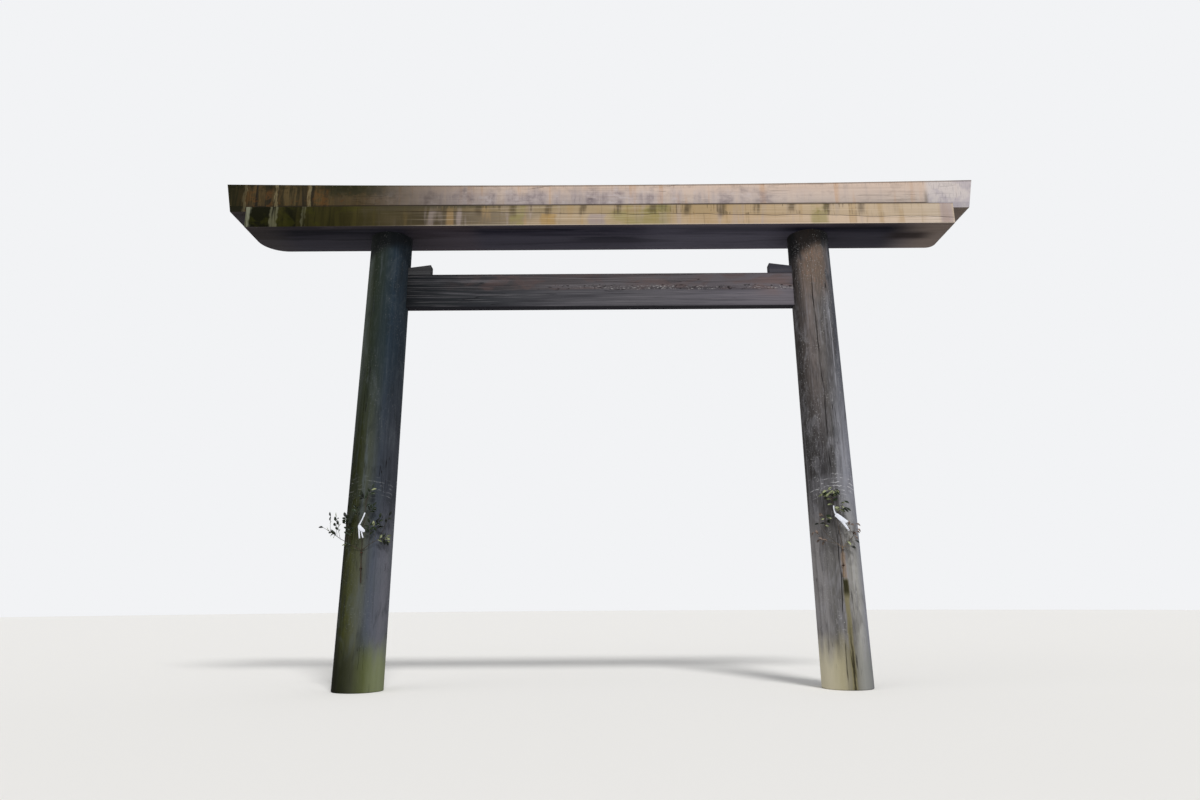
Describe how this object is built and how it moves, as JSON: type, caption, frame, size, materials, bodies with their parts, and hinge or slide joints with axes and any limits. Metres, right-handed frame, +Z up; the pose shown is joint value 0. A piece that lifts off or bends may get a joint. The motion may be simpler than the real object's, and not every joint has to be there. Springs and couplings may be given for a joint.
{
  "type": "torii gate",
  "caption": "Timber shrine gateway: round leaning posts joined by a wedged tie beam under a double lintel with slanted ends.",
  "frame": {"origin": "on the ground, midway between the two posts and in the middle of their thickness", "axes": "+X along the lintel, +Y through the gate, away from the side that carries the twigs, +Z up"},
  "size_m": [9.7552, 0.82, 6.3999],
  "materials": {
    "post_timber": "weathered grey cypress with green algae",
    "tie_timber": "weathered grey-brown cypress",
    "lintel_timber": "sun-bleached cypress with stains",
    "twig_bark": "thin bark",
    "staple_iron": "rusty iron",
    "streamer_paper": "white folded paper"
  },
  "bodies": {
    "root": {"left_post": "post_timber", "right_post": "post_timber", "tie_beam": "tie_timber", "left_wedge": "tie_timber", "right_wedge": "tie_timber", "lower_lintel": "lintel_timber", "upper_lintel": "lintel_timber", "left_twig": "twig_bark", "right_twig": "twig_bark", "left_staples": "staple_iron", "right_staples": "staple_iron", "left_streamer": "streamer_paper", "right_streamer": "streamer_paper"}
  },
  "joints": []
}
